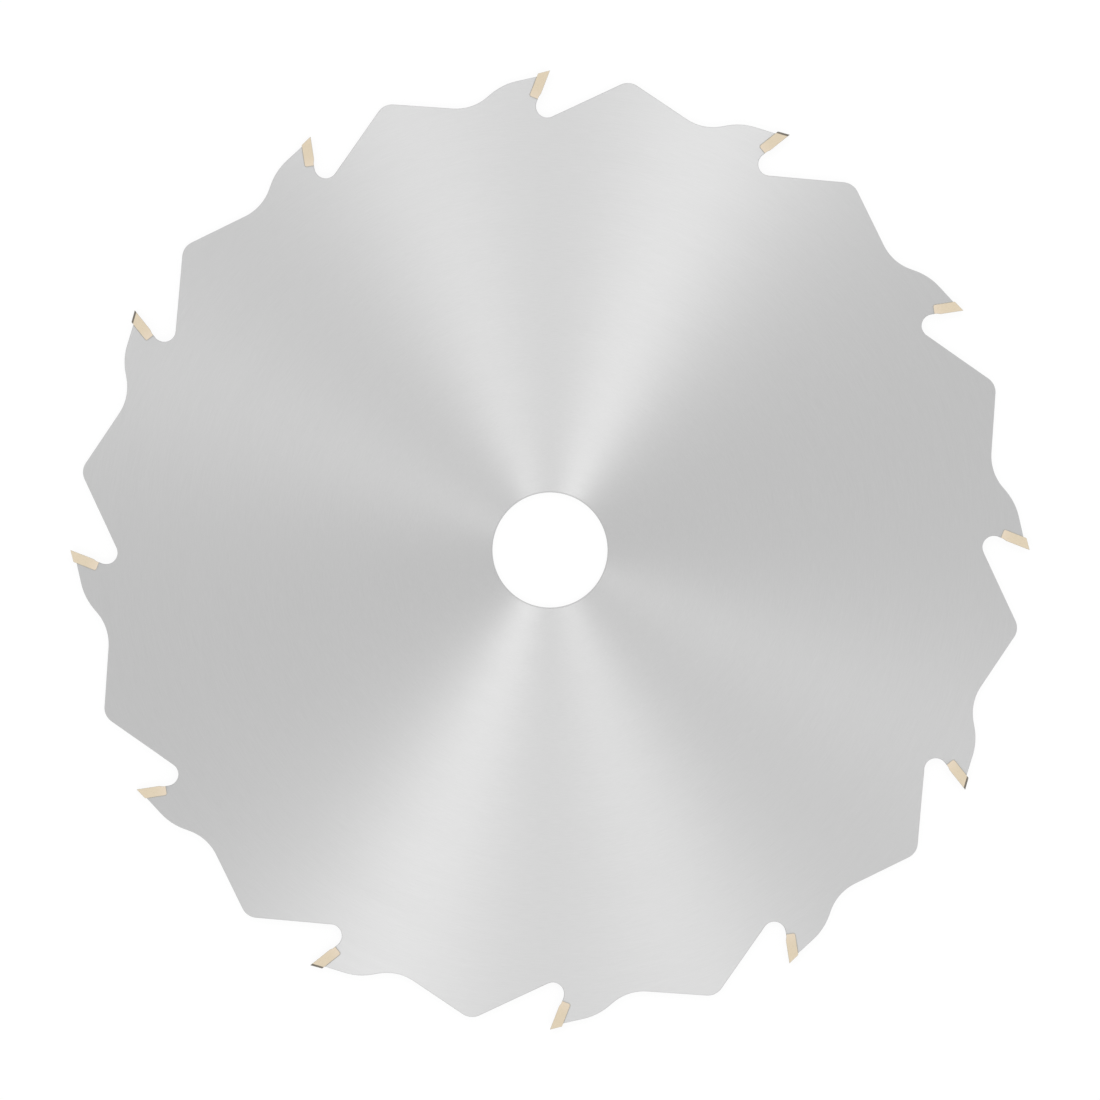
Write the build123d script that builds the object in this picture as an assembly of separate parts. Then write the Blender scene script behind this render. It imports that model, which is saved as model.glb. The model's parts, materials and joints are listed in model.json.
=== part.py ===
from build123d import *
import os
from math import cos, radians, sin, sqrt, tan

# A circular rip saw blade with brazed carbide tips, in millimetres.
# It lies flat. The origin is the centre of the bore, halfway through the plate, and +Z is the
# arbor's axis. The first tooth is at +Y, and seen from +Z the teeth lead clockwise.

# Blade
blade_diameter = 250.0
tooth_count = 12
kerf = 3.2

# Steel plate
plate_thickness = 2.2
bore_diameter = 30.0
bore_chamfer = 0.35
edge_break = 0.12

# Outline of the plate from one tooth to the next: the gullet, a ramp up to a hump, a flank down
# to a valley, and the next tooth's shoulder and land. Drops are below the tip circle, and angles
# are from its tangent at the tooth. The gullet has a short wall below the tip before it turns.
gullet_wall = 0.6
gullet_radius = 3.0
ramp_angle = 25.0
hump_radius = 4.4
hump_drop = 1.55
flank_angle = 33.9
valley_radius = 12.4
shoulder_angle = 40.0
shoulder_radius = 15.5
land_angle = 12.7
land_length = 12.4
land_drop = 0.84
shortest_straight = 0.5

# Carbide tips. The toe is the lower end of the cutting face, ground back to the gullet's wall.
hook_angle = 21.3
tip_thickness = 2.6
tip_length = 8.1
tip_heel_radius = 0.5
tip_face_stand = 0.26
toe_length = 1.6
toe_slope_length = 0.9
top_clearance_angle = 14.0
bevel_angle = 10.0
raker_drop = 0.45
inward_side_clearance = 1.0
backward_side_clearance = 2.5

# Solder between a tip and its seat
braze_gap = 0.2

# The teeth repeat in threes. Each has the side, +Z or -Z, on which its top is high, or 0 for a
# flat top, and how far it stands below the tip circle.
grinds = [(1, 0.0), (-1, 0.0), (0, raker_drop)]

# Worked out from the sizes above
tip_radius = blade_diameter / 2
pitch_angle = 360 / tooth_count
seat_depth = tip_thickness + braze_gap
seat_length = tip_length + braze_gap
seat_heel_radius = tip_heel_radius + braze_gap
overrun = kerf


def heading(angle):
    """The unit vector that points this many degrees above +X."""
    return Vector(cos(radians(angle)), sin(radians(angle)))


def crossing(point_a, way_a, point_b, way_b):
    """Where two lines meet, each given by a point and a direction."""
    along = (point_b - point_a).cross(way_b).Z / way_a.cross(way_b).Z
    return point_a + way_a * along


def leaving(point, way, radius):
    """Where a line, followed in its direction, leaves a circle about the blade's axis."""
    middle = -point.dot(way)
    return point + way * (middle + sqrt(middle**2 - point.dot(point) + radius**2))


def prism(corners, radii, thickness):
    """A flat piece, halfway through the plate, with a rounding for each corner of its outline."""
    outline = FilletPolyline(*corners, radius=radii, close=True)
    return extrude(make_face(outline), amount=thickness / 2, both=True)


def at_tooth(shape, tooth):
    """A shape drawn at the first tooth, turned clockwise to another one."""
    return Rot(0, 0, -tooth * pitch_angle) * shape


# The tooth is drawn at the top of the blade, with its cutting corner on +Y, leading towards +X.
corner = Vector(0, tip_radius)
face_in = heading(270 - hook_angle)
behind = heading(180 - hook_angle)


def at_tip(back, inward):
    """A point given by its distances behind the cutting face, and along it from the corner."""
    return corner + behind * back + face_in * inward


# The straight stretches that a tooth's outline starts and ends with
wall_point = at_tip(tip_face_stand, 0)
land_point = corner - Vector(0, land_drop)
land_way = heading(180 + land_angle)
land_end = land_point + land_way * (land_length / cos(radians(land_angle)))
shoulder_way = heading(180 + shoulder_angle)
crest = crossing(land_point, land_way, wall_point, face_in)


def tooth_outline():
    """The plate's edge from the crest of one tooth, clockwise, to the crest of the next."""
    # The gullet's wall runs along the cutting face, and its floor rises along the ramp.
    gullet_centre = at_tip(tip_face_stand - gullet_radius, seat_length + gullet_wall)
    ramp_way = heading(ramp_angle)
    under_ramp = heading(ramp_angle - 90)
    ramp_point = gullet_centre + under_ramp * gullet_radius

    # The hump rounds the ramp over, as far up it as brings the hump to its height.
    hump_centre = leaving(
        ramp_point + under_ramp * hump_radius,
        ramp_way,
        tip_radius - hump_drop - hump_radius,
    )
    flank_way = heading(-flank_angle)
    flank_point = hump_centre + heading(90 - flank_angle) * hump_radius

    # The flank falls until it meets the next tooth's shoulder, in the valley.
    next_land_end = land_end.rotate(Axis.Z, -pitch_angle)
    next_shoulder_way = shoulder_way.rotate(Axis.Z, -pitch_angle)
    valley = crossing(flank_point, flank_way, next_land_end, next_shoulder_way)

    # The roundings at both ends of the shoulder are as large as the straight between them allows.
    valley_turn = flank_angle + shoulder_angle - pitch_angle
    shoulder_turn = shoulder_angle - land_angle
    needed = valley_radius * tan(radians(valley_turn / 2))
    needed += shoulder_radius * tan(radians(shoulder_turn / 2))
    share = min(1, ((next_land_end - valley).length - shortest_straight) / needed)

    corners = [
        crest,
        crossing(wall_point, face_in, ramp_point, ramp_way),
        crossing(ramp_point, ramp_way, flank_point, flank_way),
        valley,
        next_land_end,
        crest.rotate(Axis.Z, -pitch_angle),
    ]
    radii = [gullet_radius, hump_radius, share * valley_radius, share * shoulder_radius]
    return FilletPolyline(*corners, radius=radii)


def tip_seat():
    """What is cut out of the plate for one tip and its solder: a notch with a round heel."""
    corners = [
        at_tip(seat_depth, seat_length),
        at_tip(seat_depth, -overrun),
        at_tip(-overrun, -overrun),
        at_tip(-overrun, seat_length),
    ]
    return prism(corners, [seat_heel_radius, 0, 0, 0], 2 * plate_thickness)


def saw_plate():
    """The steel plate: outline with broken edges, bore with a chamfer each side, tip seats."""
    tooth = tooth_outline()
    outline = [at_tooth(edge, n) for n in range(tooth_count) for edge in tooth.edges()]
    plate = extrude(Face(Wire(outline)), amount=plate_thickness / 2, both=True)
    plate = chamfer(plate.faces().filter_by(Axis.Z).edges(), edge_break)
    plate -= Cylinder(bore_diameter / 2, plate_thickness)
    circles = plate.edges().filter_by(GeomType.CIRCLE)
    plate = chamfer(circles.sort_by_distance((0, 0, 0))[:2], bore_chamfer)
    seat = tip_seat()
    return plate - [at_tooth(seat, n) for n in range(tooth_count)]


def braze_joint():
    """The solder behind and below a tip, flush with the plate's faces, land and gullet wall."""
    corners = [
        at_tip(seat_depth, seat_length),
        crossing(at_tip(seat_depth, 0), face_in, land_point, land_way),
        crossing(at_tip(tip_thickness, 0), face_in, land_point, land_way),
        at_tip(tip_thickness, tip_length),
        at_tip(tip_face_stand, tip_length),
        at_tip(tip_face_stand, seat_length),
    ]
    return prism(corners, [seat_heel_radius, 0, 0, tip_heel_radius, 0, 0], plate_thickness)


def carbide_tip(high_side, drop):
    """A tip: a block with a round heel and a ground-back toe, then ground on both sides and on top."""
    corners = [
        at_tip(0, -overrun),
        at_tip(0, tip_length - toe_length),
        at_tip(tip_face_stand, tip_length - toe_length + toe_slope_length),
        at_tip(tip_face_stand, tip_length),
        at_tip(tip_thickness, tip_length),
        at_tip(tip_thickness, -overrun),
    ]
    tip = prism(corners, [0, 0, 0, 0, tip_heel_radius, 0], kerf)

    # Each side leans in a little, both towards the bore and away from the cutting face.
    lean = face_in * tan(radians(inward_side_clearance))
    lean += behind * tan(radians(backward_side_clearance))
    for side in (1, -1):
        edge = corner + Vector(0, 0, side * kerf / 2)
        tip = split(tip, Plane(edge, z_dir=lean + Vector(0, 0, side)), keep=Keep.BOTTOM)

    edge = corner + Vector(0, -drop, high_side * kerf / 2)
    slope = Vector(0, 0, -high_side * tan(radians(bevel_angle)))
    top = Plane(edge, z_dir=heading(90 + top_clearance_angle) + slope)
    return split(tip, top, keep=Keep.BOTTOM)


os.makedirs("parts", exist_ok=True)
export_step(saw_plate(), "parts/saw_plate.step")
braze = braze_joint()
tips = [carbide_tip(high_side, drop) for high_side, drop in grinds]
for n in range(tooth_count):
    number = f"{n + 1:02d}"
    tip = tips[n % len(tips)]
    export_step(at_tooth(tip, n), f"parts/carbide_tip_{number}.step")
    export_step(at_tooth(braze, n), f"parts/braze_joint_{number}.step")
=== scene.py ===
import json
from math import atan2, ceil, copysign, cos, pi, radians, sin, sqrt, tan

import bmesh
import bpy
from mathutils import Matrix, Vector


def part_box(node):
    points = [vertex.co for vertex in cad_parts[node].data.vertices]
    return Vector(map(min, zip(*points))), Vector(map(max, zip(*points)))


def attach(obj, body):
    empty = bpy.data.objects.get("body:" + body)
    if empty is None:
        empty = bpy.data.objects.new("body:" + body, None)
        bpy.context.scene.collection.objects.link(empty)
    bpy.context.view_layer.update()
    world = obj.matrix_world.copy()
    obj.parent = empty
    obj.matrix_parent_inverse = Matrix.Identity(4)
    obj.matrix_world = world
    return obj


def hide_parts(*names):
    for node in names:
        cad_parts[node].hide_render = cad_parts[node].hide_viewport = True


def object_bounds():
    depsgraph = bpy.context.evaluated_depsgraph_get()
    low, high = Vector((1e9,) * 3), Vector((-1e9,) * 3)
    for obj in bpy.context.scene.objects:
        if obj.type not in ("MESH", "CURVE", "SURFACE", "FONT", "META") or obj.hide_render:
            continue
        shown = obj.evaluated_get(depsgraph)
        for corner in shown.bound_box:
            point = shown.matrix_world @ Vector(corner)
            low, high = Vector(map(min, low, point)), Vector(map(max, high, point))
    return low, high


# Lays a circular saw blade flat on a white table: a steel plate ground in circles about its bore,
# twelve carbide tips, and the solder that holds each tip in its seat. Lengths are in metres. The
# blade's axis is Z, the first tooth is at +Y, and seen from above the teeth lead clockwise.

bl_info = {
    "name": "Circular saw blade",
    "version": (1, 0, 0),
    "blender": (4, 5, 0),
    "location": "3D View > Sidebar > Saw blade",
    "description": "Makes a ground saw plate, its carbide tips, their solder, and a light table",
    "category": "Add Mesh",
}

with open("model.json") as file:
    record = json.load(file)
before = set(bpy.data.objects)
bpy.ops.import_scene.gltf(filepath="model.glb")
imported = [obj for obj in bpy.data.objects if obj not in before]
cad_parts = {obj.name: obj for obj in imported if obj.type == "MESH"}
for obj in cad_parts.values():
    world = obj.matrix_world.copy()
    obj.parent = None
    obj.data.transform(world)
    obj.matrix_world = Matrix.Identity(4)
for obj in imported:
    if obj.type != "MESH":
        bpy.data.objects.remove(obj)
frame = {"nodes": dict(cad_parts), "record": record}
cad_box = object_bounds()

# What the frame gives: its teeth, its bore, and the two faces of its plate
tip_nodes = sorted(name for name in frame["nodes"] if name.startswith("carbide_tip_"))
braze_nodes = sorted(name for name in frame["nodes"] if name.startswith("braze_joint_"))
mounts = {mount["name"]: mount for mount in frame["record"]["mounts"]}
bore_radius = mounts["arbor_bore"]["dims"]["r_mm"] / 1000
half_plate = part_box("saw_plate")[1].z
tip_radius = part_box(tip_nodes[0])[1].y
tooth_count = len(tip_nodes)
pitch = 2 * pi / tooth_count

AXIS = Vector((0, 0, 1))
ORIGIN = Vector((0, 0, 0))

# Points this close are one point. Where two slices of the plate meet, the second is enough.
NEAR = 1e-7
NEAR_IN_SLICES = 1e-5


def length(name, description, default):
    """A property that holds a length."""
    return bpy.props.FloatProperty(
        name=name, description=description, default=default, min=0, unit="LENGTH", precision=5
    )


def angle(name, description, degrees):
    """A property that holds an angle, given here in degrees."""
    return bpy.props.FloatProperty(
        name=name, description=description, default=radians(degrees), subtype="ANGLE"
    )


def share(name, description, default):
    """A property that holds a number from 0 to 1."""
    return bpy.props.FloatProperty(
        name=name, description=description, default=default, min=0, max=1, subtype="FACTOR"
    )


def colour(name, description, default):
    """A property that holds a colour."""
    return bpy.props.FloatVectorProperty(
        name=name, description=description, default=default, min=0, max=1, subtype="COLOR"
    )


def amount(name, description, default):
    """A property that holds a plain number."""
    return bpy.props.FloatProperty(name=name, description=description, default=default, min=0)


class ToothSizes(bpy.types.PropertyGroup):
    """The outline of the plate over one tooth. Drops are below the tip circle."""

    hook: angle("Hook", "Lean of the cutting face from the radius", 21.3)
    seat_depth: length("Seat depth", "From the cutting face to the back of the seat", 0.0028)
    seat_length: length("Seat length", "From the cutting corner to the floor of the seat", 0.0083)
    seat_heel: length("Seat heel", "Rounding at the back of the seat's floor", 0.0007)
    face_stand: length("Face stand", "How far the cutting face stands before the gullet", 0.00026)
    gullet_wall: length("Gullet wall", "Straight wall between the seat and the gullet", 0.0006)
    gullet_radius: length("Gullet radius", "Rounding at the bottom of the gullet", 0.003)
    ramp: angle("Ramp", "Rise of the gullet's floor towards the hump", 25.0)
    hump_radius: length("Hump radius", "Rounding over the hump", 0.0044)
    hump_drop: length("Hump drop", "Drop of the hump below the tip circle", 0.00155)
    flank: angle("Flank", "Fall of the flank behind the hump", 33.9)
    valley_radius: length("Valley radius", "Rounding in the valley behind the flank", 0.0124)
    shoulder: angle("Shoulder", "Fall of the shoulder behind the land", 40.0)
    shoulder_radius: length("Shoulder radius", "Rounding from the land to the shoulder", 0.0155)
    land: angle("Land", "Fall of the land behind the tip", 12.7)
    land_length: length("Land length", "From the tip to the start of the shoulder", 0.0124)
    land_drop: length("Land drop", "Drop of the land at the cutting corner", 0.00084)


class EdgeSizes(bpy.types.PropertyGroup):
    """How edges are broken, and how finely round stretches are divided."""

    outline_break: length("Outline break", "Chamfer along the plate's outline", 0.00012)
    bore_chamfer: length("Bore chamfer", "Chamfer on each side of the bore", 0.00035)
    tip_edge: length("Tip edge", "Dulling of the ground edges of a tip", 0.00003)
    arc_step: angle("Arc step", "Turn of a round stretch for each of its segments", 5.0)
    sector: angle("Sector", "Turn of each slice of the plate's faces", 1.0)


class SolderSizes(bpy.types.PropertyGroup):
    """The solder in a tip's seat. It is flush with the plate and climbs the side of the tip."""

    gap: length("Gap", "Thickness of the solder between tip and seat", 0.0002)
    climb: length("Climb", "How far the solder climbs the side of the tip", 0.00013)


class Finishes(bpy.types.PropertyGroup):
    """Colours and gloss of the metals."""

    steel: colour("Steel", "Ground faces of the plate", (0.585, 0.585, 0.585))
    steel_roughness: share("Steel roughness", "Roughness of the ground faces", 0.456)
    steel_grain: share("Steel grain", "Length of the grinding streaks' reflections", 0.9)
    cut_steel: colour("Cut steel", "Edges of the plate, cut and then brushed", (0.42, 0.42, 0.42))
    bore_steel: colour("Bore steel", "Wall of the bore, reamed", (0.5, 0.5, 0.5))
    gold: colour("Gold", "Sides of the tips", (0.678, 0.582, 0.438))
    pale_gold: colour("Pale gold", "Sides of the tips next to the solder", (0.723, 0.617, 0.483))
    carbide: colour("Carbide", "Ground faces and edges of the tips", (0.34, 0.311, 0.268))
    solder: colour("Solder", "Solder round the tips", (0.53, 0.522, 0.495))


class StageSizes(bpy.types.PropertyGroup):
    """The camera, the lamps and the table."""

    view_width: length("View width", "What the picture takes in from side to side", 0.28669)
    camera_distance: length("Camera distance", "Height of the camera above the blade", 10.0)
    table_width: length("Table width", "Side of the table that the blade lies on", 6.0)
    sky: amount("Sky", "Even light from all round", 0.83)
    lamp_height: angle("Lamp height", "Height of the lamps above the table", 60)
    lamp_breadth: angle("Lamp breadth", "How broad each lamp looks from the blade", 8)
    table_lit: share("Table lit", "Share of the table's white that lamps and shadows change", 0.12)


def sizes(name):
    """One of the groups of sizes that the panel shows."""
    return getattr(bpy.context.scene, "blade_" + name)


def way(turn):
    """The unit vector that points this far round from +X."""
    return Vector((cos(turn), sin(turn), 0))


def crossing(point_a, way_a, point_b, way_b):
    """Where two lines meet, each given by a point and a direction."""
    return point_a + way_a * ((point_b - point_a).cross(way_b).z / way_a.cross(way_b).z)


def leaving(point, line, radius):
    """Where a line, followed in its direction, leaves a circle about the blade's axis."""
    middle = -point.dot(line)
    return point + line * (middle + sqrt(middle**2 - point.dot(point) + radius**2))


def about_axis(turn):
    """A turn about the blade's axis."""
    return Matrix.Rotation(turn, 4, "Z")


def put_in_order(bm):
    """Sorts a mesh by place, because bmesh leaves it in an order that changes from run to run."""
    centres = (
        (bm.verts, lambda vert: vert.co),
        (bm.edges, lambda edge: (edge.verts[0].co + edge.verts[1].co) / 2),
        (bm.faces, lambda face: face.calc_center_median()),
    )
    for items, centre in centres:
        ranked = sorted(items, key=lambda item: [round(part / NEAR) for part in centre(item)])
        ranks = {item: rank for rank, item in enumerate(ranked)}
        items.sort(key=ranks.get)


def new_piece(name, bm, materials, node):
    """Makes a finished mesh into a piece that stands for a node of the frame."""
    put_in_order(bm)
    mesh = bpy.data.meshes.new(name)
    bm.to_mesh(mesh)
    bm.free()
    piece = bpy.data.objects.new(name, mesh)
    bpy.context.scene.collection.objects.link(piece)
    for material in materials:
        mesh.materials.append(material)
    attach(piece, "root")
    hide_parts(node)
    return piece


def soften(bm, sharpest):
    """Shades a mesh as round, apart from the edges that turn more than this."""
    for face in bm.faces:
        face.smooth = True
    for edge in bm.edges:
        edge.smooth = len(edge.link_faces) == 2 and edge.calc_face_angle() < sharpest


# The lines of a tooth at the top of the blade, with its cutting corner on +Y


class ToothLines:
    """The lines that a tooth's outline, its seat and its solder follow."""

    def __init__(self):
        tooth = sizes("tooth")
        self.corner = Vector((0, tip_radius, 0))
        self.face_in = way(-pi / 2 - tooth.hook)
        self.behind = way(pi - tooth.hook)
        self.land_point = self.corner - Vector((0, tooth.land_drop, 0))
        self.land_way = way(pi + tooth.land)

    def at_tip(self, back, inward):
        """A point given by its distances behind the cutting face, and along it."""
        return self.corner + self.behind * back + self.face_in * inward

    def on_land(self, back):
        """The point of the land that lies this far behind the cutting face."""
        return crossing(self.at_tip(back, 0), self.face_in, self.land_point, self.land_way)


def tooth_corners():
    """The plate's outline, clockwise, from the middle of one ramp to the next, with roundings."""
    tooth = sizes("tooth")
    lines = ToothLines()
    stand = tooth.face_stand

    # The gullet's wall runs along the cutting face, and its floor rises along the ramp.
    gullet_centre = lines.at_tip(stand - tooth.gullet_radius, tooth.seat_length + tooth.gullet_wall)
    ramp_way = way(tooth.ramp)
    under_ramp = way(tooth.ramp - pi / 2)
    ramp_point = gullet_centre + under_ramp * tooth.gullet_radius
    gullet = crossing(lines.at_tip(stand, 0), lines.face_in, ramp_point, ramp_way)

    # The hump rounds the ramp over, and the flank falls from it.
    hump_centre = leaving(
        ramp_point + under_ramp * tooth.hump_radius,
        ramp_way,
        tip_radius - tooth.hump_drop - tooth.hump_radius,
    )
    flank_way = way(-tooth.flank)
    flank_point = hump_centre + way(pi / 2 - tooth.flank) * tooth.hump_radius
    hump = crossing(ramp_point, ramp_way, flank_point, flank_way)
    middle_of_ramp = (ramp_point + hump) / 2

    # The flank ahead of this tooth belongs to the tooth before it.
    back = about_axis(pitch)
    land_end = lines.land_point + lines.land_way * (tooth.land_length / cos(tooth.land))
    shoulder_way = way(pi + tooth.shoulder)
    valley = crossing(back @ flank_point, back @ flank_way, land_end, shoulder_way)
    return [
        (back @ middle_of_ramp, 0),
        (back @ hump, tooth.hump_radius),
        (valley, tooth.valley_radius),
        (land_end, tooth.shoulder_radius),
        (lines.on_land(tooth.seat_depth), 0),
        (lines.at_tip(tooth.seat_depth, tooth.seat_length), tooth.seat_heel),
        (lines.at_tip(stand, tooth.seat_length), 0),
        (gullet, tooth.gullet_radius),
        (middle_of_ramp, 0),
    ]


def draw_to(bm, vert, point):
    """Draws a straight edge from the end of a chain, and gives the chain's new end."""
    end = bmesh.ops.extrude_vert_indiv(bm, verts=[vert])["verts"][0]
    end.co = point
    return end


def draw_round(bm, vert, centre, turn, step):
    """Draws an arc from the end of a chain, and gives the chain's new end."""
    steps = max(2, ceil(abs(turn) / step))
    made = bmesh.ops.spin(bm, geom=[vert], cent=centre, axis=AXIS, angle=turn, steps=steps)
    return next(item for item in made["geom_last"] if isinstance(item, bmesh.types.BMVert))


def draw_outline(bm, corners, step):
    """Draws a chain of edges through corners, each with its own rounding."""
    first = bm.verts.new(corners[0][0])
    end = first
    for (before, _), (point, radius), (after, _) in zip(corners, corners[1:], corners[2:]):
        way_in = (point - before).normalized()
        way_out = (after - point).normalized()
        turn = atan2(way_in.cross(way_out).z, way_in.dot(way_out))
        if radius == 0:
            end = draw_to(bm, end, point)
            continue
        end = draw_to(bm, end, point - way_in * radius * tan(abs(turn) / 2))
        side = AXIS.cross(way_in) * copysign(radius, turn)
        end = draw_round(bm, end, end.co + side, turn, step)
    return first, draw_to(bm, end, corners[-1][0])


# Saw plate

FACE_SLOT, EDGE_SLOT, BORE_SLOT = range(3)

# The rims of the plate turn more than this, and its upright faces' normals rise less than this.
RIM_TURN = pi / 4
UPRIGHT_RISE = 0.1

# Edges of the plate and of the tips that turn more than this are shaded as sharp.
SHARP_METAL = radians(30)

# The strips of the plate's map, across the streaks
MAP_BANDS = {
    "top": (0.01, 0.44),
    "bottom": (0.45, 0.88),
    "outline": (0.90, 0.94),
    "bore": (0.96, 0.99),
}

# Where the outline runs towards the bore its map would fold, so it also moves with the distance
# from the axis: the shares of the turn and of that distance, and where it starts.
OUTLINE_BY_TURN = 0.98
OUTLINE_BY_DISTANCE = 0.1
OUTLINE_START = -0.08


def plate_slice():
    """The flat outline of the plate over one pitch, closed at the bore, as one face."""
    edges = sizes("edge")
    bm = bmesh.new()
    first, last = draw_outline(bm, tooth_corners(), edges.arc_step)
    inner_first = draw_to(bm, first, first.co.normalized() * bore_radius)
    inner_last = draw_round(bm, inner_first, ORIGIN, -pitch, edges.sector)
    bm.edges.new((inner_last, last))
    bmesh.ops.remove_doubles(bm, verts=bm.verts, dist=NEAR)
    bmesh.ops.contextual_create(bm, geom=bm.edges)
    return bm


def plate_solid():
    """The whole plate: the slice turned round the axis, given its thickness and its chamfers."""
    edges = sizes("edge")
    bm = plate_slice()
    bmesh.ops.spin(
        bm,
        geom=bm.verts[:] + bm.edges[:] + bm.faces[:],
        cent=ORIGIN,
        axis=AXIS,
        angle=2 * pi - pitch,
        steps=tooth_count - 1,
        use_duplicate=True,
    )
    bmesh.ops.remove_doubles(bm, verts=bm.verts, dist=NEAR_IN_SLICES)
    bmesh.ops.translate(bm, verts=bm.verts, vec=-half_plate * AXIS)
    raised = bmesh.ops.extrude_face_region(bm, geom=bm.faces[:])["geom"]
    raised = [item for item in raised if isinstance(item, bmesh.types.BMVert)]
    bmesh.ops.translate(bm, verts=raised, vec=2 * half_plate * AXIS)
    bmesh.ops.recalc_face_normals(bm, faces=bm.faces)

    rims = [edge for edge in bm.edges if edge.calc_face_angle() > RIM_TURN and is_level(edge)]
    bore_rims = [edge for edge in rims if is_at_bore(edge.verts[0].co)]
    others = {*bore_rims, *(edge for edge in rims if lies_in_seat(edge))}
    outline_rims = [edge for edge in rims if edge not in others]
    chamfer_edges(bm, bore_rims, edges.bore_chamfer)
    chamfer_edges(bm, outline_rims, edges.outline_break)
    cut_sectors(bm, round(pi / edges.sector))
    return bm


def cut_sectors(bm, cuts):
    """Cuts the plate right across, in line with its bore's corners, so that its map can curve."""
    first = seam() + pi / 2
    for cut in range(cuts):
        everything = bm.verts[:] + bm.edges[:] + bm.faces[:]
        across = way(first + cut * pi / cuts)
        bmesh.ops.bisect_plane(bm, geom=everything, dist=NEAR, plane_co=ORIGIN, plane_no=across)


def seam():
    """The turn from +X at which the plate's map starts and ends."""
    start = tooth_corners()[0][0]
    return atan2(start.y, start.x)


def is_level(edge):
    """Whether an edge lies in a plane parallel to the plate's faces."""
    return abs(edge.verts[0].co.z - edge.verts[1].co.z) < NEAR


def is_at_bore(place):
    """Whether a point on an edge of the plate belongs to the bore and not to the outline."""
    return place.xy.length < (bore_radius + tip_radius) / 2


def lies_in_seat(edge):
    """Whether an edge of the plate runs round the seat of one of the tips."""
    tooth = sizes("tooth")
    lines = ToothLines()
    middle = (edge.verts[0].co + edge.verts[1].co) / 2
    turn = round((pi / 2 - atan2(middle.y, middle.x)) / pitch) * pitch
    place = about_axis(turn) @ middle - lines.corner
    back = place.dot(lines.behind)
    inward = place.dot(lines.face_in)
    in_depth = tooth.face_stand < back < tooth.seat_depth + NEAR
    in_length = inward < tooth.seat_length + NEAR
    return in_depth and in_length


def chamfer_edges(bm, edges, size):
    """Cuts a flat chamfer along edges."""
    bmesh.ops.bevel(
        bm,
        geom=edges,
        offset=size,
        offset_type="OFFSET",
        segments=1,
        profile=0.5,
        affect="EDGES",
        clamp_overlap=False,
        material=-1,
    )


def sort_plate_faces(bm):
    """Gives the ground faces with their chamfers, the cut edges and the bore their finishes."""
    for face in bm.faces:
        if abs(face.normal.z) > UPRIGHT_RISE:
            face.material_index = FACE_SLOT
        elif is_at_bore(face.calc_center_median()):
            face.material_index = BORE_SLOT
        else:
            face.material_index = EDGE_SLOT


def map_band(face):
    """The strip of the plate's map that a face lies in."""
    if face.material_index == EDGE_SLOT:
        return MAP_BANDS["outline"]
    if face.material_index == BORE_SLOT:
        return MAP_BANDS["bore"]
    return MAP_BANDS["top" if face.normal.z > 0 else "bottom"]


def lay_out_plate(bm):
    """Lays the plate out by turn and radius, so that the map runs along the grinding streaks."""
    flat = bm.loops.layers.uv.new("OFBake")
    start = seam()
    bore = bore_radius / tip_radius
    for face in bm.faces:
        centre = face.calc_center_median()
        middle = (atan2(centre.y, centre.x) - start) % (2 * pi)
        low, high = map_band(face)
        for loop in face.loops:
            place = about_axis(-middle - start) @ loop.vert.co
            along = (middle + atan2(place.y, place.x)) / (2 * pi)
            outwards = place.xy.length / tip_radius
            if face.material_index == FACE_SLOT:
                rise = (outwards - bore) / (1 - bore)
            else:
                rise = place.z / (2 * half_plate) + 0.5
            if face.material_index == EDGE_SLOT:
                along = OUTLINE_BY_TURN * along + OUTLINE_BY_DISTANCE * outwards + OUTLINE_START
            loop[flat].uv = (along, low + rise * (high - low))


def make_plate():
    """The ground saw plate."""
    bm = plate_solid()
    sort_plate_faces(bm)
    lay_out_plate(bm)
    soften(bm, SHARP_METAL)
    materials = [ground_steel(), cut_steel(), reamed_steel()]
    return new_piece("ground_saw_plate", bm, materials, "saw_plate")


# Carbide tips and their solder

SIDE_SLOT, GROUND_SLOT = range(2)

# On a tip, faces that turn less than the first of these are one flat face, edges that turn more
# than the second are dulled, and the sides have more rise in their normals than the third.
FLAT_TURN = radians(0.5)
DULLED_TURN = radians(6)
SIDE_RISE = 0.95

# The map of a tip's faces by their distances behind the cutting face and along it
TIP_MAP = "Along"

# The top of the solder, from the tip to the seat, in shares of its gap and of its climb
SOLDER_FILLET = ((0, 1), (0.12, 0.4), (0.35, 0.1), (0.7, 0), (1, 0))
SOLDER_HEEL_STEPS = 6
SHARP_SOLDER = radians(50)


def make_tip(node, number, materials):
    """One carbide tip, from its node's shape, with dulled edges and a map along its length."""
    bm = bmesh.new()
    bm.from_mesh(frame["nodes"][node].data)
    bmesh.ops.remove_doubles(bm, verts=bm.verts, dist=NEAR)
    bmesh.ops.dissolve_limit(bm, angle_limit=FLAT_TURN, verts=bm.verts, edges=bm.edges)
    sharp = [edge for edge in bm.edges if edge.calc_face_angle() > DULLED_TURN]
    chamfer_edges(bm, sharp, sizes("edge").tip_edge)
    lines = ToothLines()
    upright = about_axis(number * pitch)
    along = bm.loops.layers.uv.new(TIP_MAP)
    for face in bm.faces:
        on_side = abs(face.normal.z) > SIDE_RISE
        face.material_index = SIDE_SLOT if on_side else GROUND_SLOT
        for loop in face.loops:
            place = upright @ loop.vert.co - lines.corner
            loop[along].uv = (place.dot(lines.behind), place.dot(lines.face_in))
    soften(bm, SHARP_METAL)
    return new_piece("ground_tip_" + node[-2:], bm, materials, node)


def solder_section():
    """The section of the solder across the back of the tip: (behind the tip, height)."""
    solder = sizes("solder")
    upper = [
        (back * solder.gap, half_plate + rise * solder.climb) for back, rise in SOLDER_FILLET
    ]
    return upper + [(back, -height) for back, height in reversed(upper)]


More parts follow.
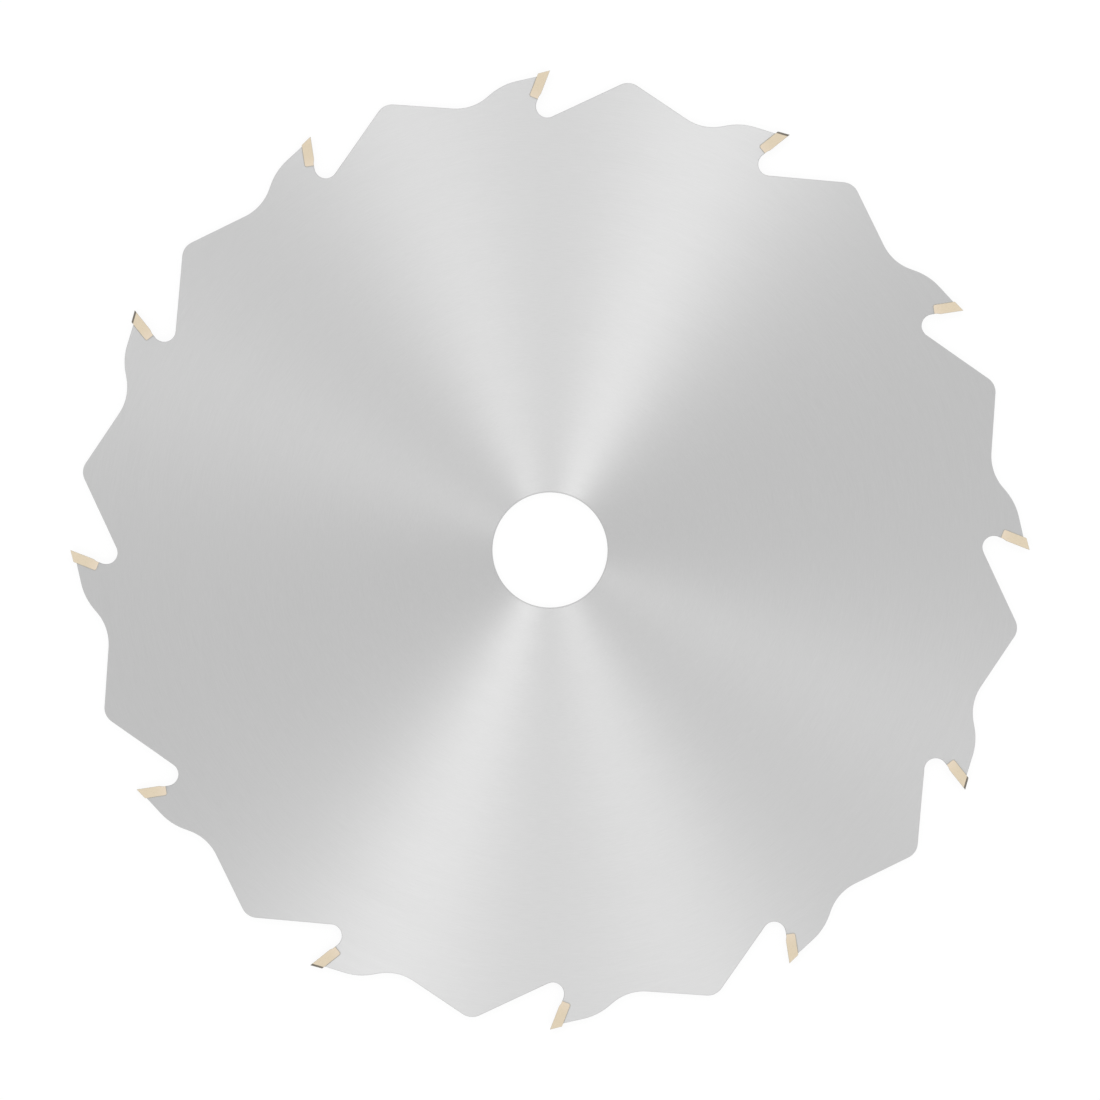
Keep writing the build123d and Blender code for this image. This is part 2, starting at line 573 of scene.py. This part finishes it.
def make_solder(node, number, materials):
    """The solder of one tip: its section led down the back of the tip, round and to the gullet."""
    tooth = sizes("tooth")
    solder = sizes("solder")
    lines = ToothLines()
    tip_back = tooth.seat_depth - solder.gap
    tip_foot = tooth.seat_length - solder.gap
    heel = tooth.seat_heel - solder.gap
    bm = bmesh.new()
    start = lines.at_tip(tip_back, -tooth.seat_depth)
    for back, height in solder_section():
        bm.verts.new(start + lines.behind * back + AXIS * height)
    section = bmesh.ops.contextual_create(bm, geom=bm.verts)["faces"]
    bmesh.ops.delete(bm, geom=section, context="FACES_ONLY")

    # Down the back of the tip, round its heel, and along its foot to the gullet's wall
    loop = lead_straight(bm, bm.edges[:], lines.face_in * (tooth.seat_depth + tip_foot - heel))
    loop = lead_round(bm, loop, lines.at_tip(tip_back - heel, tip_foot - heel), pi / 2)
    lead_straight(bm, loop, -lines.behind * (tip_back - heel - tooth.face_stand))

    # The land cuts it off, and both of its ends are closed.
    bmesh.ops.bisect_plane(
        bm,
        geom=bm.verts[:] + bm.edges[:] + bm.faces[:],
        dist=NEAR,
        plane_co=lines.land_point,
        plane_no=lines.land_way.cross(AXIS),
        clear_outer=True,
    )
    bmesh.ops.holes_fill(bm, edges=bm.edges, sides=0)
    bmesh.ops.recalc_face_normals(bm, faces=bm.faces)
    bmesh.ops.transform(bm, matrix=about_axis(-number * pitch), verts=bm.verts)
    soften(bm, SHARP_SOLDER)
    return new_piece("solder_bead_" + node[-2:], bm, materials, node)


def lead_straight(bm, loop, step):
    """Leads a closed section straight on, and gives its edges at the new end."""
    made = bmesh.ops.extrude_edge_only(bm, edges=loop)["geom"]
    ends = {item for item in made if isinstance(item, bmesh.types.BMVert)}
    bmesh.ops.translate(bm, verts=list(ends), vec=step)
    made_edges = [item for item in made if isinstance(item, bmesh.types.BMEdge)]
    return [edge for edge in made_edges if ends.issuperset(edge.verts)]


def lead_round(bm, loop, centre, turn):
    """Leads a closed section round a corner, and gives its edges at the new end."""
    made = bmesh.ops.spin(
        bm, geom=loop, cent=centre, axis=AXIS, angle=turn, steps=SOLDER_HEEL_STEPS
    )
    return [item for item in made["geom_last"] if isinstance(item, bmesh.types.BMEdge)]


# Materials

# Textures: a scale for each number that they follow, their detail and their roughness. The first
# three follow a length, and the direction from the axis. The others follow lengths only.
GRINDING_STREAKS = ((9000, 22, 22), 3.0, 0.7)
GRINDING_BANDS = ((700, 3, 3), 2.0, 0.5)
REAMING_RINGS = ((12000, 6, 6), 2.0, 0.6)
CUTTING_RIDGES = ((6000, 6000, 500), 2.0, 0.6)
SIDE_LINES = ((16000, 900), 2.0, 0.6)
WHEEL_LINES = ((3000, 3000, 14000), 2.0, 0.6)
SOLDER_RIPPLES = ((4500, 4500, 4500), 3.0, 0.6)

# Noise keeps mostly between these two.
NOISE_LOW = 0.3
NOISE_HIGH = 0.7

# How much rougher or smoother the streaks and the bands make the ground faces
STREAK_GLOSS = 0.02
BAND_GLOSS = 0.007

# Distances down the side of a tip: where its gold starts to turn pale, and where it is wholly pale
PALE_START = 0.0052
PALE_END = 0.0078

# The tint of ground carbide's gloss at a low angle
GRAZING_TINT = (0.3, 0.29, 0.27, 1)

# A quarter turn lets the shader draw reflections out across its tangent and not along it.
QUARTER_TURN = 0.25


class Nodes:
    """The node tree of a material or a world, with short ways to add to it."""

    def __init__(self, owner):
        owner.use_nodes = True
        self.tree = owner.node_tree
        self.tree.nodes.clear()

    def add(self, kind, **settings):
        """Adds a node and sets it."""
        node = self.tree.nodes.new(kind)
        for name, value in settings.items():
            setattr(node, name, value)
        return node

    def link(self, output, entry):
        """Joins two sockets."""
        self.tree.links.new(output, entry)

    def fill(self, entry, value):
        """Links a socket, or sets its value."""
        if isinstance(value, bpy.types.NodeSocket):
            self.link(value, entry)
        else:
            entry.default_value = value

    def math(self, operation, *values):
        """A number worked out from numbers."""
        node = self.add("ShaderNodeMath", operation=operation)
        for entry, value in zip(node.inputs, values):
            self.fill(entry, value)
        return node.outputs["Value"]

    def parts(self, vector):
        """The three parts of a vector."""
        node = self.add("ShaderNodeSeparateXYZ")
        self.link(vector, node.inputs["Vector"])
        return node.outputs[:]

    def vector(self, *parts):
        """A vector from its parts. Those left out are 0."""
        node = self.add("ShaderNodeCombineXYZ")
        for entry, value in zip(node.inputs, parts):
            self.fill(entry, value)
        return node.outputs["Vector"]

    def spread(self, value, low, high, start=NOISE_LOW, end=NOISE_HIGH):
        """Spreads what lies between start and end over another range."""
        node = self.add("ShaderNodeMapRange")
        self.link(value, node.inputs["Value"])
        for entry, number in zip(node.inputs[1:5], (start, end, low, high)):
            entry.default_value = number
        return node.outputs["Result"]

    def mix_shaders(self, share_of_second, first, second):
        """A shader between two others."""
        node = self.add("ShaderNodeMixShader")
        for entry, output in zip(node.inputs, (share_of_second, first, second)):
            self.link(output, entry)
        return node.outputs["Shader"]


class Metal(Nodes):
    """The nodes of a bare metal, whose colour, gloss and relief follow textures."""

    def __init__(self, name):
        self.material = bpy.data.materials.new(name)
        super().__init__(self.material)
        shader = self.add("ShaderNodeBsdfPrincipled")
        self.shader = shader.inputs
        self.shader["Metallic"].default_value = 1
        output = self.add("ShaderNodeOutputMaterial")
        self.link(shader.outputs["BSDF"], output.inputs["Surface"])
        self.place = self.add("ShaderNodeTexCoord").outputs["Object"]

    def texture(self, parts, kind):
        """Noise from 0 to 1 over some numbers, of one of the kinds above."""
        scales, detail, roughness = kind
        scaled = [self.math("MULTIPLY", part, scale) for part, scale in zip(parts, scales)]
        node = self.add("ShaderNodeTexNoise")
        self.link(self.vector(*scaled), node.inputs["Vector"])
        node.inputs["Scale"].default_value = 1
        node.inputs["Detail"].default_value = detail
        node.inputs["Roughness"].default_value = roughness
        return node.outputs["Fac"]

    def from_axis(self):
        """The distance from the blade's axis, and the two parts of the direction away from it."""
        x, y, _ = self.parts(self.place)
        squares = self.math("ADD", self.math("MULTIPLY", x, x), self.math("MULTIPLY", y, y))
        distance = self.math("SQRT", squares)
        return distance, self.math("DIVIDE", x, distance), self.math("DIVIDE", y, distance)

    def blend(self, factor, first, second):
        """A colour between two others."""
        node = self.add("ShaderNodeMix", data_type="RGBA")
        # Sockets 6 and 7 are the two colours, and output 2 is the mixed one.
        entries = (node.inputs["Factor"], node.inputs[6], node.inputs[7])
        for entry, value in zip(entries, (factor, first, second)):
            self.fill(entry, value)
        return node.outputs[2]

    def shaded(self, base, texture, contrast):
        """A colour that a texture makes darker and lighter by a share of it."""
        dark = [part * (1 - contrast) for part in base]
        light = [min(1, part * (1 + contrast)) for part in base]
        return self.blend(self.spread(texture, 0, 1), (*dark, 1), (*light, 1))

    def look(self, base, roughness):
        """Gives the shader its colour and its roughness."""
        self.link(base, self.shader["Base Color"])
        self.link(roughness, self.shader["Roughness"])

    def relief(self, height, depth):
        """Gives the shader a relief of this depth."""
        node = self.add("ShaderNodeBump")
        node.inputs["Distance"].default_value = depth
        self.link(height, node.inputs["Height"])
        self.link(node.outputs["Normal"], self.shader["Normal"])

    def grain(self, strength):
        """Draws reflections out across streaks, which run in circles about the axis."""
        x, y, _ = self.parts(self.place)
        self.shader["Anisotropic"].default_value = strength
        self.shader["Anisotropic Rotation"].default_value = QUARTER_TURN
        self.link(self.vector(self.math("MULTIPLY", y, -1), x), self.shader["Tangent"])


def ground_steel():
    """Steel ground in circles about the bore: fine streaks, and bands of them."""
    finish = sizes("finish")
    metal = Metal("Ground steel")
    from_axis = metal.from_axis()
    streaks = metal.texture(from_axis, GRINDING_STREAKS)
    bands = metal.texture(from_axis, GRINDING_BANDS)
    middle = finish.steel_roughness
    by_streaks = metal.spread(streaks, -STREAK_GLOSS, STREAK_GLOSS)
    by_bands = metal.spread(bands, middle - BAND_GLOSS, middle + BAND_GLOSS)
    base = metal.shaded(finish.steel, streaks, contrast=0.035)
    metal.look(base, roughness=metal.math("ADD", by_streaks, by_bands))
    metal.grain(finish.steel_grain)
    metal.relief(streaks, depth=0.000004)
    return metal.material


def cut_steel():
    """The plate's cut edge: fine ridges from face to face."""
    metal = Metal("Cut steel")
    ridges = metal.texture(metal.parts(metal.place), CUTTING_RIDGES)
    base = metal.shaded(sizes("finish").cut_steel, ridges, contrast=0.12)
    metal.look(base, roughness=metal.spread(ridges, low=0.36, high=0.5))
    metal.relief(ridges, depth=0.00001)
    return metal.material


def reamed_steel():
    """The wall of the bore: fine rings round the axis."""
    metal = Metal("Reamed steel")
    _, _, height = metal.parts(metal.place)
    _, east, north = metal.from_axis()
    rings = metal.texture((height, east, north), REAMING_RINGS)
    base = metal.shaded(sizes("finish").bore_steel, rings, contrast=0.06)
    metal.look(base, roughness=metal.spread(rings, low=0.26, high=0.36))
    metal.relief(rings, depth=0.000005)
    return metal.material


def gold_satin():
    """The sides of the tips: pale gold, paler next to the solder, ground along the tip."""
    finish = sizes("finish")
    metal = Metal("Gold satin")
    back, inward, _ = metal.parts(metal.add("ShaderNodeUVMap", uv_map=TIP_MAP).outputs["UV"])
    lines = metal.texture((back, inward), SIDE_LINES)
    plain = metal.shaded(finish.gold, lines, contrast=0.04)
    near_foot = metal.spread(inward, 0, 1, PALE_START, PALE_END)
    base = metal.blend(near_foot, plain, (*finish.pale_gold, 1))
    metal.look(base, roughness=metal.spread(lines, low=0.27, high=0.33))
    metal.relief(lines, depth=0.000006)
    return metal.material


def ground_carbide():
    """The ground faces and edges of the tips: dark, with fine lines from the grinding wheel."""
    metal = Metal("Ground carbide")
    lines = metal.texture(metal.parts(metal.place), WHEEL_LINES)
    base = metal.shaded(sizes("finish").carbide, lines, contrast=0.15)
    metal.look(base, roughness=metal.spread(lines, low=0.38, high=0.5))
    metal.shader["Specular Tint"].default_value = GRAZING_TINT
    metal.relief(lines, depth=0.000006)
    return metal.material


def silver_solder():
    """Solder ground flush with the plate: its streaks, over the soft ripples it froze with."""
    finish = sizes("finish")
    metal = Metal("Silver solder")
    streaks = metal.texture(metal.from_axis(), GRINDING_STREAKS)
    ripples = metal.texture(metal.parts(metal.place), SOLDER_RIPPLES)
    base = metal.shaded(finish.solder, ripples, contrast=0.08)
    metal.look(base, roughness=metal.spread(ripples, low=0.44, high=0.54))
    metal.grain(finish.steel_grain)
    metal.relief(metal.math("ADD", streaks, ripples), depth=0.000005)
    return metal.material


# Stage

# The table's own white, which is only seen, and its white that light falls on
OWN_WHITE = 1.02
LIT_WHITE = (0.95, 0.95, 0.95, 1)

# Each pair of far lamps: its turn from +X in degrees, and the strength of each lamp of the pair
LAMPS = {
    "right": (68.6, 0.175),
    "left": (108.1, 0.138),
    "far_left": (154.6, 0.062),
}


def seen_directly(nodes):
    """1 for what the camera, a reflection or a glass sees, and 0 for light that falls on things."""
    path = nodes.add("ShaderNodeLightPath").outputs
    seen = nodes.math("MAXIMUM", path["Is Camera Ray"], path["Is Glossy Ray"])
    return nodes.math("MAXIMUM", seen, path["Is Transmission Ray"])


def make_sky():
    """Even white light from all round, and a white background."""
    world = bpy.data.worlds.new("Sky")
    nodes = Nodes(world)
    light = nodes.add("ShaderNodeBackground")
    light.inputs["Color"].default_value = (1, 1, 1, 1)
    strength = nodes.spread(seen_directly(nodes), sizes("stage").sky, 1, start=0, end=1)
    nodes.link(strength, light.inputs["Strength"])
    output = nodes.add("ShaderNodeOutputWorld")
    nodes.link(light.outputs["Background"], output.inputs["Surface"])
    bpy.context.scene.world = world


def table_white():
    """A white table: mostly its own white where it is seen, partly lit, and clear from below."""
    material = bpy.data.materials.new("White table")
    nodes = Nodes(material)
    own = nodes.add("ShaderNodeEmission")
    own.inputs["Strength"].default_value = OWN_WHITE
    lit = nodes.add("ShaderNodeBsdfDiffuse")
    lit.inputs["Color"].default_value = LIT_WHITE
    clear = nodes.add("ShaderNodeBsdfTransparent")
    own_share = nodes.math("MULTIPLY", seen_directly(nodes), 1 - sizes("stage").table_lit)
    upper = nodes.mix_shaders(own_share, lit.outputs["BSDF"], own.outputs["Emission"])
    below = nodes.add("ShaderNodeNewGeometry").outputs["Backfacing"]
    whole = nodes.mix_shaders(below, upper, clear.outputs["BSDF"])
    output = nodes.add("ShaderNodeOutputMaterial")
    nodes.link(whole, output.inputs["Surface"])
    # Its own white is only seen, so it isn't sampled as a lamp.
    material.cycles.emission_sampling = "NONE"
    return material


def make_table():
    """The table, just under the lowest corners of the tips."""
    bm = bmesh.new()
    bmesh.ops.create_grid(bm, x_segments=1, y_segments=1, size=sizes("stage").table_width / 2)
    bmesh.ops.translate(bm, verts=bm.verts, vec=cad_box[0].z * AXIS)
    mesh = bpy.data.meshes.new("table")
    bm.to_mesh(mesh)
    bm.free()
    mesh.materials.append(table_white())
    table = bpy.data.objects.new("table", mesh)
    bpy.context.scene.collection.objects.link(table)


def make_lamps():
    """Pairs of far lamps, one at each side, whose light the grinding streaks turn into fans."""
    stage = sizes("stage")
    for name, (turn, strength) in LAMPS.items():
        for side, flip in (("back", 0), ("front", pi)):
            lamp = bpy.data.lights.new(f"lamp_{name}_{side}", "SUN")
            lamp.energy = strength
            lamp.angle = stage.lamp_breadth
            placed = bpy.data.objects.new(lamp.name, lamp)
            level = way(radians(turn) + flip)
            towards = level * cos(stage.lamp_height) + AXIS * sin(stage.lamp_height)
            placed.location = towards
            placed.rotation_euler = towards.to_track_quat("Z", "Y").to_euler()
            bpy.context.scene.collection.objects.link(placed)


def make_camera():
    """A camera that looks straight down on the blade from far away."""
    stage = sizes("stage")
    lens = bpy.data.cameras.new("camera")
    lens.sensor_width = 36
    # The width is that of what lies level with the upper face of the plate.
    lens.lens = lens.sensor_width * (stage.camera_distance - half_plate) / stage.view_width
    lens.clip_end = 2 * stage.camera_distance
    camera = bpy.data.objects.new("camera", lens)
    camera.location = AXIS * stage.camera_distance
    bpy.context.scene.collection.objects.link(camera)
    bpy.context.scene.camera = camera
    bpy.context.scene.view_settings.view_transform = "Standard"


# Operators


class BLADE_OT_plate(bpy.types.Operator):
    """Makes the ground saw plate"""

    bl_idname = "blade.plate"
    bl_label = "Saw plate"

    def execute(self, context):
        make_plate()
        return {"FINISHED"}


class BLADE_OT_tips(bpy.types.Operator):
    """Makes the ground carbide tips"""

    bl_idname = "blade.tips"
    bl_label = "Carbide tips"

    def execute(self, context):
        materials = [gold_satin(), ground_carbide()]
        for number, node in enumerate(tip_nodes):
            make_tip(node, number, materials)
        return {"FINISHED"}


class BLADE_OT_solder(bpy.types.Operator):
    """Makes the solder round the tips"""

    bl_idname = "blade.solder"
    bl_label = "Solder"

    def execute(self, context):
        materials = [silver_solder()]
        for number, node in enumerate(braze_nodes):
            make_solder(node, number, materials)
        return {"FINISHED"}


class BLADE_OT_stage(bpy.types.Operator):
    """Makes the table, the light and the camera"""

    bl_idname = "blade.stage"
    bl_label = "Stage"

    def execute(self, context):
        make_sky()
        make_table()
        make_lamps()
        make_camera()
        return {"FINISHED"}


class BLADE_PT_sidebar(bpy.types.Panel):
    """Lists the blade's pieces and sizes"""

    bl_idname = "BLADE_PT_sidebar"
    bl_label = "Saw blade"
    bl_space_type = "VIEW_3D"
    bl_region_type = "UI"
    bl_category = "Saw blade"

    def draw(self, context):
        for operator in OPERATORS:
            self.layout.operator(operator.bl_idname)
        for name, group in GROUPS.items():
            box = self.layout.box()
            box.label(text=name.capitalize())
            for prop in group.__annotations__:
                box.prop(sizes(name), prop)


GROUPS = {
    "tooth": ToothSizes,
    "edge": EdgeSizes,
    "solder": SolderSizes,
    "finish": Finishes,
    "stage": StageSizes,
}
OPERATORS = (BLADE_OT_plate, BLADE_OT_tips, BLADE_OT_solder, BLADE_OT_stage)
CLASSES = (*GROUPS.values(), *OPERATORS, BLADE_PT_sidebar)


def register():
    """Adds the classes, and the groups of sizes to the scene."""
    for cls in CLASSES:
        bpy.utils.register_class(cls)
    for name, group in GROUPS.items():
        setattr(bpy.types.Scene, "blade_" + name, bpy.props.PointerProperty(type=group))


def unregister():
    """Takes away what register added."""
    for name in GROUPS:
        delattr(bpy.types.Scene, "blade_" + name)
    for cls in reversed(CLASSES):
        bpy.utils.unregister_class(cls)


def main():
    """Makes the whole scene."""
    register()
    bpy.ops.blade.plate()
    bpy.ops.blade.tips()
    bpy.ops.blade.solder()
    bpy.ops.blade.stage()


if __name__ == "__main__":
    main()
